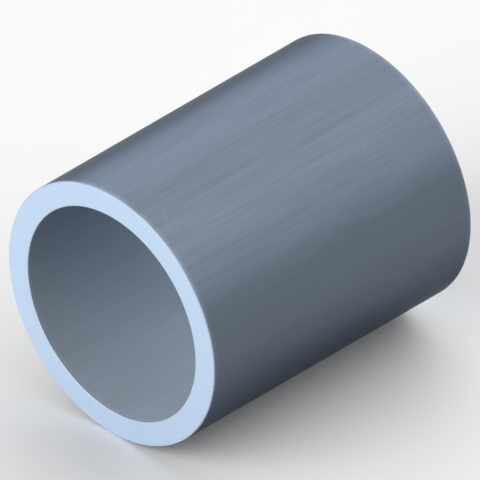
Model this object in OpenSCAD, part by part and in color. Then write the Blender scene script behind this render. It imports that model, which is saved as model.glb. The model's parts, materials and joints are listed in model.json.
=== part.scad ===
// Stainless steel tube: one cut length of thick-walled round seamless tube.
//
// Both ends are cut square and faced flat, and their four edges are broken by hand deburring.
// The tube lies on its side. Its axis runs along Y, and the origin is on the floor, under the
// middle of the line that it rests on. All sizes are in millimetres.

/* [Tube] */
// Outside diameter
outer_d = 80; // [50:0.5:200]
// Wall thickness, the same all round
wall = 7.5; // [1.5:0.1:20]
// Cut length, from end face to end face
cut_length = 100; // [20:1:1000]

/* [Edges] */
// Edge break round the outside of each end, at 45 degrees
outer_break = 0.3; // [0.05:0.05:0.7]
// Edge break round the bore at each end, at 45 degrees
bore_break = 0.3; // [0.05:0.05:0.7]

/* [Preview] */
// Sides drawn in each circle
circle_sides = 180; // [36:12:360]

/* [Hidden] */

outer_r = outer_d / 2;
bore_r = outer_r - wall;
half_length = cut_length / 2;

// Half of the wall's outline, from the bore edge to the outside edge of the upper end:
// x is the distance from the tube's axis, and y the distance from the middle of its length.
upper_end = [
    [bore_r, half_length - bore_break],
    [bore_r + bore_break, half_length],
    [outer_r - outer_break, half_length],
    [outer_r, half_length - outer_break],
];

// The same corners at the lower end, in the order that closes the outline.
lower_end = [for (i = [len(upper_end) - 1:-1:0]) [upper_end[i].x, -upper_end[i].y]];

// The wall cut lengthwise on one side of the axis, with the edge breaks at its corners.
module wall_section() {
    polygon(concat(upper_end, lower_end));
}

// The tube: the wall section turned once round the axis, then laid down along Y.
module tube() {
    color("lightsteelblue")
        translate([0, 0, outer_r])
            rotate([-90, 0, 0])
                rotate_extrude($fn = circle_sides)
                    wall_section();
}

tube();
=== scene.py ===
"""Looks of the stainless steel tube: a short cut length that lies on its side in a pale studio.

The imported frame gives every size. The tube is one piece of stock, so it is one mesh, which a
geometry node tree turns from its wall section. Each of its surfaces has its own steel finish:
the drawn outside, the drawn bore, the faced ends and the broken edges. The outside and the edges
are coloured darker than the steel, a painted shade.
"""

import json
import logging
import math
from dataclasses import dataclass
from enum import Enum
from typing import Any, Union

import bpy
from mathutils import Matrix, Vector


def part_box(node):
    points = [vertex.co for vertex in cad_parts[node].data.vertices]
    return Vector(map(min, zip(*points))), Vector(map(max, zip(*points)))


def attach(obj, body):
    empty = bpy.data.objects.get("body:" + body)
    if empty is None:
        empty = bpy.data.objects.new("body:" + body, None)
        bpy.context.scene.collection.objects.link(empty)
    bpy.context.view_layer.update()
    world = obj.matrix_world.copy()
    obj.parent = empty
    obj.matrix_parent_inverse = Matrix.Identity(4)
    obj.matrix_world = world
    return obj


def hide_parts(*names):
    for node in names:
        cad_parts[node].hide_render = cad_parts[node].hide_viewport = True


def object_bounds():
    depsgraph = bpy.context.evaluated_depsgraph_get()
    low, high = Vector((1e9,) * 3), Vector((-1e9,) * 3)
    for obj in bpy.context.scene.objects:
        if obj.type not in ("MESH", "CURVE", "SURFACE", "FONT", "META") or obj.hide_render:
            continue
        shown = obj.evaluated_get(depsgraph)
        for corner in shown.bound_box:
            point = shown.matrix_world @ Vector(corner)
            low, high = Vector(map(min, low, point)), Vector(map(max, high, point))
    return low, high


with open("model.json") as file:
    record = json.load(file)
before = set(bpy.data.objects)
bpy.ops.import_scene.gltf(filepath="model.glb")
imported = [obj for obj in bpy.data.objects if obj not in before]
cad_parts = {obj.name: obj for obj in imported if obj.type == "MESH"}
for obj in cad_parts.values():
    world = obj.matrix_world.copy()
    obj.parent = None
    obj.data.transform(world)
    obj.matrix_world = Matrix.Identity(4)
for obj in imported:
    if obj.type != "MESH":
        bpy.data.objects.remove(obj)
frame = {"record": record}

CAD_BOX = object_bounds()
NODE = "tube"
BODY = "root"
MM = 0.001

LOG = logging.getLogger(NODE)

Colour = tuple[float, float, float]
Operand = Union["Field", float]
Tone = Union["Field", Colour]


class Field:
    """A value that varies from place to place: an output socket with Python's arithmetic."""

    def __init__(self, graph: "Graph", socket: bpy.types.NodeSocket) -> None:
        """Wraps a socket.

        Args:
            graph: The graph that the socket's node belongs to.
            socket: The output socket.
        """
        self.graph = graph
        self.socket = socket

    def _math(self, operation: str, *operands: Operand) -> "Field":
        """Adds a Math node.

        Args:
            operation: The node's operation.
            operands: Its inputs, in order, as fields or numbers.

        Returns:
            The node's value.
        """
        return self.graph.value("ShaderNodeMath", {"operation": operation}, dict(enumerate(operands)))

    def __add__(self, other: Operand) -> "Field":
        """The sum."""
        return self._math("ADD", self, other)

    def __radd__(self, other: float) -> "Field":
        """The sum, with a number on the left."""
        return self._math("ADD", other, self)

    def __sub__(self, other: Operand) -> "Field":
        """The difference."""
        return self._math("SUBTRACT", self, other)

    def __rsub__(self, other: float) -> "Field":
        """The difference, with a number on the left."""
        return self._math("SUBTRACT", other, self)

    def __mul__(self, other: Operand) -> "Field":
        """The product."""
        return self._math("MULTIPLY", self, other)

    def __rmul__(self, other: float) -> "Field":
        """The product, with a number on the left."""
        return self._math("MULTIPLY", other, self)

    def __truediv__(self, other: Operand) -> "Field":
        """The quotient."""
        return self._math("DIVIDE", self, other)

    def __pow__(self, exponent: Operand) -> "Field":
        """The power."""
        return self._math("POWER", self, exponent)

    def __abs__(self) -> "Field":
        """The size without its sign."""
        return self._math("ABSOLUTE", self)

    def root(self) -> "Field":
        """The square root."""
        return self._math("SQRT", self)

    def between(self, low: Operand = 0.0, high: Operand = 1.0) -> "Field":
        """The value, held between two limits.

        Args:
            low: The lower limit.
            high: The upper limit.

        Returns:
            The limited value.
        """
        return self._math("MINIMUM", self._math("MAXIMUM", self, low), high)

    def above(self, limit: Operand) -> "Field":
        """1 where the value is over the limit, and 0 elsewhere."""
        return self._math("GREATER_THAN", self, limit)


class Graph:
    """A node tree that is built by calls, for shaders and for geometry alike."""

    def __init__(self, tree: bpy.types.NodeTree) -> None:
        """Takes over a node tree.

        Args:
            tree: The tree, whose own nodes are removed first.
        """
        self.tree = tree
        tree.nodes.clear()

    def node(
        self,
        kind: str,
        settings: dict[str, Any] | None = None,
        inputs: dict[str | int, Any] | None = None,
    ) -> bpy.types.Node:
        """Adds one node.

        Args:
            kind: The node's type.
            settings: Its properties, which are set before its inputs.
            inputs: Values or links, by the socket's name or number.

        Returns:
            The node.
        """
        node = self.tree.nodes.new(kind)
        for name, value in (settings or {}).items():
            setattr(node, name, value)
        for key, value in (inputs or {}).items():
            socket = node.inputs[key]
            if isinstance(value, Field):
                self.tree.links.new(value.socket, socket)
            else:
                socket.default_value = value
        return node

    def value(
        self,
        kind: str,
        settings: dict[str, Any] | None = None,
        inputs: dict[str | int, Any] | None = None,
        output: str | int = 0,
    ) -> Field:
        """Adds one node and takes one of its outputs.

        Args:
            kind: The node's type.
            settings: Its properties.
            inputs: Values or links, by the socket's name or number.
            output: The output's name or number.

        Returns:
            The output, as a field.
        """
        return Field(self, self.node(kind, settings, inputs).outputs[output])

    def vector(self, x: Operand, y: Operand, z: Operand) -> Field:
        """Joins three numbers into a vector."""
        return self.value("ShaderNodeCombineXYZ", inputs={"X": x, "Y": y, "Z": z})

    def parts(self, vector: Field) -> tuple[Field, Field, Field]:
        """Splits a vector.

        Args:
            vector: The vector.

        Returns:
            Its x, y and z.
        """
        split = self.node("ShaderNodeSeparateXYZ", inputs={0: vector})
        x, y, z = (Field(self, socket) for socket in split.outputs)
        return x, y, z

    def blend(self, factor: Operand, low: Tone, high: Tone) -> Field:
        """Mixes two colours.

        Args:
            factor: How much of the second colour there is, from 0 to 1.
            low: The colour at 0.
            high: The colour at 1.

        Returns:
            The mixed colour.
        """
        first, second = (tone if isinstance(tone, Field) else (*tone, 1.0) for tone in (low, high))
        # Sockets 6 and 7 are the node's two colours; those before them are numbers and vectors.
        inputs = {"Factor": factor, 6: first, 7: second}
        return self.value("ShaderNodeMix", {"data_type": "RGBA"}, inputs, output=2)

    def noise(
        self,
        where: Field,
        detail: float = 2.0,
        contrast: float = 1.0,
        middle: float = 0.5,
    ) -> Field:
        """Soft noise of unit size, held between 0 and 1.

        Args:
            where: The place, already scaled so that one unit is one lump.
            detail: How many finer layers it has.
            contrast: How far it is stretched.
            middle: The noise that becomes a half: over 0.5, few places stand out.

        Returns:
            The noise.
        """
        inputs = {"Vector": where, "Scale": 1.0, "Detail": detail, "Roughness": 0.55}
        plain = self.value("ShaderNodeTexNoise", {"noise_dimensions": "3D"}, inputs)
        return ((plain - middle) * contrast + 0.5).between()


@dataclass(frozen=True)
class Steel:
    """A bare steel finish: its tone, its gloss, and how far its marks and its wear change both.

    Attributes:
        title: The material's name.
        colour: The steel's colour, as linear red, green and blue. On the outside and the edges
        it is darker than the steel, a painted shade.
        metal: How much of it is bright metal, and how much is a matt oxide skin.
        roughness: Its roughness between the marks.
        tone_range: How much darker and lighter the marks make it, as a share.
        gloss_range: How much rougher and smoother the marks make it.
        relief: How deep the fine marks are.
        outer_radius: The tube's outside radius, which is also its axis's height.
        bore_radius: The tube's bore radius.
        half_length: Half the tube's length.
        edge_tint: How bright the metal stays at a grazing angle.
        glaze: How bright the matt skin's own reflection is.
        worn_tone: The level of a fully worn place.
        worn_gloss: How much smoother a fully worn place is.
        worn_reach: How far from a rim the wear reaches.
        worn_patch: The size of the wear's patches, in reaches.
        worn_least: The wear between the patches, at the rim.
        fine_share: How much of a mark comes from the fine pattern.
        warmth: How much warmer the dark marks are, and how much cooler the light ones.
    """

    title: str
    colour: Colour
    metal: float
    roughness: float
    tone_range: float
    gloss_range: float
    relief: float
    outer_radius: float
    bore_radius: float
    half_length: float
    edge_tint: float = 1.0
    glaze: float = 0.5
    worn_tone: float = 1.0
    worn_gloss: float = 0.0
    worn_reach: float = 2.2 * MM
    worn_patch: float = 2.5
    worn_least: float = 0.35
    fine_share: float = 0.6
    warmth: float = 0.01

    def shade(self, level: float, warmth: float = 0.0) -> Colour:
        """The finish's colour at another level, a little warmer or cooler."""
        red, green, blue = self.colour
        return red * level * (1.0 + warmth), green * level, blue * level * (1.0 - warmth)

    def pattern(self, graph: Graph, x: Field, y: Field, z: Field) -> tuple[Field, Field]:
        """The marks of this finish, measured from the tube's axis.

        Args:
            graph: The material's graph.
            x: Distance across the axis.
            y: Distance along the axis.
            z: Height over the axis.

        Returns:
            The fine marks and the broad cloudiness, each from 0 to 1.
        """
        raise NotImplementedError

    def rim_distance(self, x: Field, y: Field, z: Field) -> Field:
        """How far a place on a wall is from the nearer end."""
        return self.half_length - abs(y)

    def wear(self, graph: Graph, x: Field, y: Field, z: Field) -> Field:
        """Where handling has rubbed the surface beside its rims.

        Args:
            graph: The material's graph.
            x: Distance across the axis.
            y: Distance along the axis.
            z: Height over the axis.

        Returns:
            The wear, from 0 to 1.
        """
        size = 1.0 / (self.worn_patch * self.worn_reach)
        patches = graph.noise(graph.vector(x * size, y * size, z * size), detail=3.0, contrast=3.0)
        nearness = (1.0 - self.rim_distance(x, y, z) / self.worn_reach).between()
        return nearness * nearness * (self.worn_least + (1.0 - self.worn_least) * patches)

    def material(self) -> bpy.types.Material:
        """Builds the material.

        Returns:
            A steel whose colour, roughness and bump follow the marks and the wear.
        """
        material = bpy.data.materials.new(self.title)
        material.use_nodes = True
        graph = Graph(material.node_tree)
        place = graph.value("ShaderNodeTexCoord", output="Object")
        lowered = {"Vector": place, "Location": (0.0, 0.0, -self.outer_radius)}
        x, y, z = graph.parts(graph.value("ShaderNodeMapping", {"vector_type": "POINT"}, lowered))
        fine, broad = self.pattern(graph, x, y, z)
        wear = self.wear(graph, x, y, z)
        mark = (self.fine_share * fine + (1.0 - self.fine_share) * broad).between()
        darker = self.shade(1.0 - self.tone_range, self.warmth)
        lighter = self.shade(1.0 + self.tone_range, -self.warmth)
        tone = graph.blend(wear, graph.blend(mark, darker, lighter), self.shade(self.worn_tone))
        gloss = self.roughness + self.gloss_range * (1.0 - 2.0 * mark) - self.worn_gloss * wear
        bump = graph.value(
            "ShaderNodeBump",
            inputs={"Strength": 1.0, "Distance": 1.0, "Height": self.relief * fine},
        )
        steel = graph.value(
            "ShaderNodeBsdfPrincipled",
            inputs={
                "Base Color": tone,
                "Metallic": self.metal,
                "Specular Tint": (*(self.edge_tint,) * 3, 1.0),
                "Specular IOR Level": self.glaze,
                "Roughness": gloss,
                "Normal": bump,
            },
        )
        graph.node("ShaderNodeOutputMaterial", inputs={"Surface": steel})
        return material


@dataclass(frozen=True)
class DrawnSteel(Steel):
    """A wall that was drawn through a die: fine lines along the tube and soft cloudy bands.

    Attributes:
        line_pitch: The distance from line to line.
        line_length: How far a line runs before it fades.
        cloud_width: The width of a cloudy band.
        cloud_length: Its length.
    """

    line_pitch: float = 0.9 * MM
    line_length: float = 34.0 * MM
    cloud_width: float = 9.0 * MM
    cloud_length: float = 60.0 * MM

    def pattern(self, graph: Graph, x: Field, y: Field, z: Field) -> tuple[Field, Field]:
        """Lines along the tube, and clouds that are long in the same way.

        Args:
            graph: The material's graph.
            x: Distance across the axis.
            y: Distance along the axis.
            z: Height over the axis.

        Returns:
            The lines and the clouds, each from 0 to 1.
        """
        across, along = 1.0 / self.line_pitch, 1.0 / self.line_length
        lines = graph.noise(graph.vector(x * across, y * along, z * across), detail=3.0, contrast=2.0)
        across, along = 1.0 / self.cloud_width, 1.0 / self.cloud_length
        clouds = graph.noise(graph.vector(x * across, y * along, z * across), contrast=1.8)
        return lines, clouds


@dataclass(frozen=True)
class HandledSteel(DrawnSteel):
    """A drawn wall on the outside, where racks and other tubes have left a few faint scuffs.

    Attributes:
        scuff_width: The width of a scuff.
        scuff_length: Its length.
        scuff_strength: How worn a scuff is, from 0 to 1.
        scuff_slants: The slope of each family of scuffs to the straight way across.
    """

    scuff_width: float = 0.45 * MM
    scuff_length: float = 26.0 * MM
    scuff_strength: float = 0.25
    scuff_slants: tuple[float, ...] = (0.6, -1.4)

    def wear(self, graph: Graph, x: Field, y: Field, z: Field) -> Field:
        """The rubbed ends, and sparse scuffs that cross the drawn lines at two slants.

        Args:
            graph: The material's graph.
            x: Distance across the axis.
            y: Distance along the axis.
            z: Height over the axis.

        Returns:
            The wear and the scuffs together, from 0 to 1.
        """
        across, along = 1.0 / self.scuff_width, 1.0 / self.scuff_length
        worn = super().wear(graph, x, y, z)
        for slant in self.scuff_slants:
            place = graph.vector((y + slant * x) * across, (x - slant * y) * along, z * along)
            worn = worn + self.scuff_strength * graph.noise(place, contrast=6.0, middle=0.74)
        return worn.between()


@dataclass(frozen=True)
class FacedSteel(Steel):
    """An end that was faced in a lathe: fine rings about the tube's axis.

    Attributes:
        ring_pitch: The distance from ring to ring.
        cloud_width: The size of the clouds.
    """

    ring_pitch: float = 0.55 * MM
    cloud_width: float = 14.0 * MM

    def rim_distance(self, x: Field, y: Field, z: Field) -> Field:
        """How far a place on the face is from the nearer of its two rims."""
        radius = (x * x + z * z).root()
        return (self.outer_radius - radius).between(0.0, radius - self.bore_radius)

    def pattern(self, graph: Graph, x: Field, y: Field, z: Field) -> tuple[Field, Field]:
        """Rings that follow the distance from the axis, and faint clouds.

        Args:
            graph: The material's graph.
            x: Distance across the axis.
            y: Distance along the axis.
            z: Height over the axis.

        Returns:
            The rings and the clouds, each from 0 to 1.
        """
        radius = (x * x + z * z).root()
        rings = graph.noise(graph.vector(radius / self.ring_pitch, 0.0, 0.0), contrast=2.0)
        size = 1.0 / self.cloud_width
        clouds = graph.noise(graph.vector(x * size, y * size, z * size), contrast=1.8)
        return rings, clouds


@dataclass(frozen=True)
class BrokenSteel(Steel):
    """An edge that was broken with a file: small uneven facets all the way round.

    Attributes:
        stroke: The length of a short stroke.
        long_stroke: The length of a long one.
    """

    stroke: float = 1.6 * MM
    long_stroke: float = 9.6 * MM

    def pattern(self, graph: Graph, x: Field, y: Field, z: Field) -> tuple[Field, Field]:
        """Short strokes, and longer ones that change more slowly round the edge.

        Args:
            graph: The material's graph.
            x: Distance across the axis.
            y: Distance along the axis.
            z: Height over the axis.

        Returns:
            The short strokes and the longer ones, each from 0 to 1.
        """
        short, long = 1.0 / self.stroke, 1.0 / self.long_stroke
        strokes = graph.noise(graph.vector(x * short, y * short, z * short))
        return strokes, graph.noise(graph.vector(x * long, 0.0, z * long))


class Zone(Enum):
    """The surfaces of a tube."""

    BARREL = "Barrel"
    BORE = "Bore"
    ENDS = "Ends"
    EDGES = "Edges"


@dataclass
class Tube:
    """One cut length of round tube, lying along Y on the floor.

    Attributes:
        outer_radius: The outside radius.
        bore_radius: The bore radius.
        length: The length over both ends.
        edge_radius: The radius of the four broken edges.
        sides: How many flat strips stand for the round.
        edge_steps: How many narrow strips round off each edge.
        end_tolerance: How far short of the full length an end's faces may lie, in edge radii.
    """

    outer_radius: float
    bore_radius: float
    length: float
    edge_radius: float
    sides: int = 288
    edge_steps: int = 4
    end_tolerance: float = 0.125

    @classmethod
    def from_frame(cls) -> "Tube":
        """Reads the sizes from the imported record's round mounts and the node's box.

        Returns:
            The tube at its real size, in metres.
        """
        mounts = {mount["name"]: mount["dims"] for mount in frame["record"]["mounts"] if mount["dims"]}
        low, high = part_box(NODE)
        length = high.y - low.y
        return cls(
            outer_radius=mounts["outside"]["r_mm"] * MM,
            bore_radius=mounts["bore"]["r_mm"] * MM,
            length=length,
            edge_radius=(length - mounts["bore"]["length_mm"] * MM) / 2.0,
        )

    def finishes(self) -> dict[Zone, Steel]:
        """The finish of each surface, with painted shade in the outside's and the edges' colours.

        Returns:
            A finish for every zone.
        """
        stock = {
            "outer_radius": self.outer_radius,
            "bore_radius": self.bore_radius,
            "half_length": self.length / 2.0,
        }
        return {
            Zone.BARREL: HandledSteel(
                title="drawn_outside",
                # Painted shade: the outside's colour is far darker than the same steel on the ends, so
                # that the tube's lower side reads dark. The drawn skin's own duller tone is a small part
                # of it.
                colour=(0.123, 0.151, 0.192),
                metal=1.0,
                roughness=0.38,
                tone_range=0.07,
                gloss_range=0.05,
                relief=0.004 * MM,
                edge_tint=0.4,
                worn_tone=1.6,
                worn_gloss=0.08,
                **stock,
            ),
            Zone.BORE: DrawnSteel(
                title="pickled_bore",
                colour=(0.41, 0.475, 0.56),
                metal=0.05,
                glaze=0.1,
                roughness=0.46,
                tone_range=0.08,
                gloss_range=0.05,
                relief=0.005 * MM,
                edge_tint=0.4,
                worn_tone=1.3,
                worn_gloss=0.05,
                **stock,
            ),
            Zone.ENDS: FacedSteel(
                title="faced_ends",
                colour=(0.62, 0.775, 0.99),
                metal=0.4,
                roughness=0.50,
                tone_range=0.05,
                gloss_range=0.05,
                relief=0.002 * MM,
                worn_tone=0.93,
                worn_gloss=0.04,
                worn_reach=1.2 * MM,
                **stock,
            ),
            Zone.EDGES: BrokenSteel(
                title="broken_edges",
                # Painted shade: the edges' colour is darker than bright filed steel, so that their
                # glints stay faint.
                colour=(0.30, 0.37, 0.48),
                metal=1.0,
                roughness=0.48,
                tone_range=0.08,
                gloss_range=0.05,
                relief=0.002 * MM,
                worn_tone=1.2,
                worn_gloss=0.06,
                **stock,
            ),
        }

    def tree(self) -> bpy.types.NodeTree:
        """Builds the geometry node tree that turns the wall section into the tube.

        Returns:
            The tree, with the sizes and the finishes as named inputs.
        """
        tree = bpy.data.node_groups.new("turned_tube", "GeometryNodeTree")
        sockets = tree.interface
        for name, kind in (
            ("Outer Radius", "NodeSocketFloat"),
            ("Bore Radius", "NodeSocketFloat"),
            ("Length", "NodeSocketFloat"),
            ("Edge Radius", "NodeSocketFloat"),
            ("Sides", "NodeSocketInt"),
            ("Edge Steps", "NodeSocketInt"),
            *((zone.value, "NodeSocketMaterial") for zone in Zone),
        ):
            sockets.new_socket(name=name, in_out="INPUT", socket_type=kind)
        sockets.new_socket(name="Geometry", in_out="OUTPUT", socket_type="NodeSocketGeometry")

        graph = Graph(tree)
        given = graph.node("NodeGroupInput")
        size = {socket.name: Field(graph, socket) for socket in given.outputs if socket.name}
        outer, bore = size["Outer Radius"], size["Bore Radius"]
        edge, half_length = size["Edge Radius"], size["Length"] / 2.0
        middle = (outer + bore) / 2.0

        # The wall section is a long rectangle with rounded corners, and the path is its middle.
        section = graph.value(
            "GeometryNodeCurvePrimitiveQuadrilateral",
            {"mode": "RECTANGLE"},
            {"Width": outer - bore, "Height": size["Length"]},
        )
        section = graph.value(
            "GeometryNodeFilletCurve",
            {"mode": "POLY"},
            {"Curve": section, "Count": size["Edge Steps"], "Radius": edge},
        )
        circle = graph.value(
            "GeometryNodeCurvePrimitiveCircle",
            {"mode": "RADIUS"},
            {"Resolution": size["Sides"], "Radius": middle},
        )
        path = graph.value("GeometryNodeSetCurveNormal", {"mode": "Z_UP"}, {"Curve": circle})
        turned = graph.value("GeometryNodeCurveToMesh", inputs={"Curve": path, "Profile Curve": section})

        # The turned tube stands on its end, so it is laid down along Y, on the floor.
        laid = graph.value(
            "GeometryNodeTransform",
            inputs={
                "Geometry": turned,
                "Rotation": (-math.pi / 2.0, 0.0, 0.0),
                "Translation": graph.vector(0.0, 0.0, outer),
            },
        )

        # Each normal points away from the nearest place on the section's core.
        x, y, z = graph.parts(graph.value("GeometryNodeInputPosition"))
        z = z - outer
        radius = (x * x + z * z).root()
        core_radius = radius.between(bore + edge, outer - edge)
        core_y = y.between(edge - half_length, half_length - edge)
        lift = (radius - core_radius) / radius
        normal = graph.value(
            "ShaderNodeVectorMath",
            {"operation": "NORMALIZE"},
            {0: graph.vector(x * lift, y - core_y, z * lift)},
        )
        smooth = graph.value("GeometryNodeSetShadeSmooth", inputs={"Geometry": laid})
        shaded = graph.node("GeometryNodeSetMeshNormal", {"mode": "FREE", "domain": "CORNER"})
        tree.links.new(smooth.socket, shaded.inputs["Mesh"])
        tree.links.new(normal.socket, shaded.inputs["Custom Normal"])
        whole = graph.value("GeometryNodeRealizeInstances", inputs={0: Field(graph, shaded.outputs[0])})

        # A face belongs to an end, to one of the walls, or to an edge between them. The middles of
        # the ends' faces lie at the full half length, and those of the edges' faces lie short of it.
        wall = (half_length - edge).above(abs(y))
        outside = radius.above(middle)
        end = abs(y).above(half_length - edge * self.end_tolerance)
        zones = {
            Zone.EDGES: None,
            Zone.BARREL: wall * outside,
            Zone.BORE: wall * (1.0 - outside),
            Zone.ENDS: end,
        }
        for zone, chosen in zones.items():
            inputs = {"Geometry": whole, "Material": size[zone.value]}
            if chosen is not None:
                inputs["Selection"] = chosen
            whole = graph.value("GeometryNodeSetMaterial", inputs=inputs)
        graph.node("NodeGroupOutput", inputs={"Geometry": whole})
        return tree

    def build(self) -> bpy.types.Object:
        """Runs the tree and keeps its result as a plain mesh.

        Returns:
            The tube's object, at the origin.
        """
        maker = bpy.data.objects.new("tube_maker", bpy.data.meshes.new("tube_maker"))
        bpy.context.scene.collection.objects.link(maker)
        modifier = maker.modifiers.new("turn", "NODES")
        modifier.node_group = self.tree()
        values: dict[str, Any] = {
            "Outer Radius": self.outer_radius,
            "Bore Radius": self.bore_radius,
            "Length": self.length,
            "Edge Radius": self.edge_radius,
            "Sides": self.sides,
            "Edge Steps": self.edge_steps,
        }
        values |= {zone.value: steel.material() for zone, steel in self.finishes().items()}
        for item in modifier.node_group.interface.items_tree:
            if item.in_out == "INPUT":
                modifier[item.identifier] = values[item.name]
        bpy.context.view_layer.update()
        graph = bpy.context.evaluated_depsgraph_get()
        mesh = bpy.data.meshes.new_from_object(maker.evaluated_get(graph), depsgraph=graph)
        mesh.name = "steel_tube"
        bpy.data.objects.remove(maker)
        piece = bpy.data.objects.new("steel_tube", mesh)
        bpy.context.scene.collection.objects.link(piece)
        return piece

    def place(self, piece: bpy.types.Object) -> None:
        """Puts the piece in the CAD tube's place.

        Args:
            piece: The tube's object.
        """
        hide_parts(NODE)
        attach(piece, BODY)


@dataclass(frozen=True)
class Panel:
    """A broad soft light a long way off, brightest in its middle.

    Attributes:
        turn: Where its middle is, in degrees from +Y towards +X.
        height: How high its middle is, in degrees over the floor.
        strength: Its brightness in the middle, where 1 is white.
        focus: How fast it fades away from the middle.
    """

    turn: float
    height: float
    strength: float
    focus: float = 12.0

    def towards(self) -> Vector:
        """The direction of its middle, as seen from the tube."""
        turn, rise = math.radians(self.turn), math.radians(self.height)
        return Vector((math.sin(turn) * math.cos(rise), math.cos(turn) * math.cos(rise), math.sin(rise)))

    def glow(self, graph: Graph, ray: Field) -> Field:
        """How bright the panel is along a ray: a higher focus makes it smaller.

        Args:
            graph: The world's graph.
            ray: The ray's direction.

        Returns:
            The panel's brightness, which fades out at a right angle to its middle.
        """
        inputs = {0: ray, 1: self.towards()}
        facing = graph.value("ShaderNodeVectorMath", {"operation": "DOT_PRODUCT"}, inputs, "Value")
        return self.strength * facing.between() ** self.focus


@dataclass
class Studio:
    """A pale floor in a dim room with soft panels, a soft key in front, and the camera.

    Attributes:
        azimuth: The camera's turn, in degrees from the front end towards +X.
        elevation: The camera's height, in degrees. This one shows all three axes alike.
        frame_margin: The width of the view, in diagonals of the tube's side.
        stand_off: The camera's distance, in diagonals of the tube's box.
        floor_side: The side of the square floor.
        floor_seen: The floor's colour, as it looks and as the steel shows it.
        floor_bounce: The floor's colour for the light that it bounces.
        backdrop: The brightness of the pale backdrop beyond the floor, where 1 is white.
        backdrop_rise: How far the backdrop rises over the horizon, as a slope.
        key: Where the lamp in front stands and its strength. It has no focus, but a spread.
        key_spread: The angle that the lamp fills, in degrees.
        room_level: The brightness of the room between the panels.
        panels: The soft panels.
    """

    azimuth: float = 45.0
    elevation: float = math.degrees(math.asin(math.tan(math.radians(30.0))))
    frame_margin: float = 1.0315
    stand_off: float = 4.0
    floor_side: float = 8.0
    floor_seen: float = 0.81
    floor_bounce: float = 0.05
    backdrop: float = 0.95
    backdrop_rise: float = 0.02
    key: Panel = Panel(turn=180.0, height=35.0, strength=1.65)
    key_spread: float = 50.0
    room_level: float = 0.05
    panels: tuple[Panel, ...] = (
        # Low in front on the left: it reaches into the bore and leaves its upper left dark.
        Panel(turn=210.0, height=10.0, strength=3.8),
        # An arch behind the tube, from low on the left over the top to low on the right.
        Panel(turn=300.0, height=12.0, strength=2.5, focus=6.0),
        Panel(turn=330.0, height=42.0, strength=1.5),
        Panel(turn=15.0, height=50.0, strength=1.85),
        Panel(turn=40.0, height=35.0, strength=0.7),
        Panel(turn=45.0, height=15.0, strength=1.2),
        # A fill square to the tube, on the right.
        Panel(turn=90.0, height=40.0, strength=0.9),
    )

    def lay_floor(self) -> None:
        """Makes the floor, which looks pale itself and in the steel, and bounces less light."""
        half = self.floor_side / 2.0
        corners = [(-half, -half, 0.0), (half, -half, 0.0), (half, half, 0.0), (-half, half, 0.0)]
        mesh = bpy.data.meshes.new("floor")
        mesh.from_pydata(corners, [], [(0, 1, 2, 3)])
        material = bpy.data.materials.new("pale_floor")
        material.use_nodes = True
        graph = Graph(material.node_tree)
        rays = graph.node("ShaderNodeLightPath").outputs
        kinds = ("Is Camera Ray", "Is Glossy Ray", "Is Transmission Ray")
        camera, glossy, through = (Field(graph, rays[kind]) for kind in kinds)
        tone = graph.blend(
            (camera + glossy + through).between(),
            (self.floor_bounce,) * 3,
            (self.floor_seen,) * 3,
        )
        matt = graph.value("ShaderNodeBsdfDiffuse", inputs={"Color": tone})
        graph.node("ShaderNodeOutputMaterial", inputs={"Surface": matt})
        mesh.materials.append(material)
        floor = bpy.data.objects.new("floor", mesh)
        bpy.context.scene.collection.objects.link(floor)

    def light(self) -> None:
        """Makes the soft key light, and the dim room with its panels and its low pale backdrop."""
        lamp = bpy.data.lights.new("key", "SUN")
        lamp.energy = self.key.strength
        lamp.angle = math.radians(self.key_spread)
        key = bpy.data.objects.new("key", lamp)
        key.rotation_euler = self.key.towards().to_track_quat("Z", "Y").to_euler()
        bpy.context.scene.collection.objects.link(key)

        world = bpy.data.worlds.new("room")
        world.use_nodes = True
        graph = Graph(world.node_tree)
        ray = graph.value("ShaderNodeTexCoord", output="Generated")
        glow: Operand = self.room_level
        for panel in self.panels:
            glow = glow + panel.glow(graph, ray)
        _, _, z = graph.parts(ray)
        low = (self.backdrop_rise - z).above(0.0)
        strength = glow * (1.0 - low) + self.backdrop * low
        white = (1.0, 1.0, 1.0, 1.0)
        room = graph.value("ShaderNodeBackground", inputs={"Color": white, "Strength": strength})
        graph.node("ShaderNodeOutputWorld", inputs={"Surface": room})
        bpy.context.scene.world = world

    def aim(self) -> None:
        """Makes the camera, which sees the tube without perspective."""
        low, high = CAD_BOX
        size, centre = high - low, (low + high) / 2.0
        turn, rise = math.radians(self.azimuth), math.radians(self.elevation)
        back = Vector(
            (math.sin(turn) * math.cos(rise), -math.cos(turn) * math.cos(rise), math.sin(rise))
        )
        data = bpy.data.cameras.new("camera")
        data.type = "ORTHO"
        data.ortho_scale = self.frame_margin * math.hypot(size.y, size.z)
        camera = bpy.data.objects.new("camera", data)
        camera.location = centre + back * (self.stand_off * size.length)
        camera.rotation_euler = (-back).to_track_quat("-Z", "Y").to_euler()
        bpy.context.scene.collection.objects.link(camera)
        bpy.context.scene.camera = camera
        bpy.context.scene.view_settings.view_transform = "Standard"


def main() -> None:
    """Builds the studio and the tube, and reports each piece."""
    logging.basicConfig(level=logging.INFO, format="%(name)s: %(message)s")
    studio = Studio()
    studio.aim()
    studio.light()
    studio.lay_floor()
    tube = Tube.from_frame()
    piece = tube.build()
    tube.place(piece)
    mesh = piece.data
    LOG.info("%s has %d faces and %d finishes", piece.name, len(mesh.polygons), len(mesh.materials))


if __name__ == "__main__":
    main()
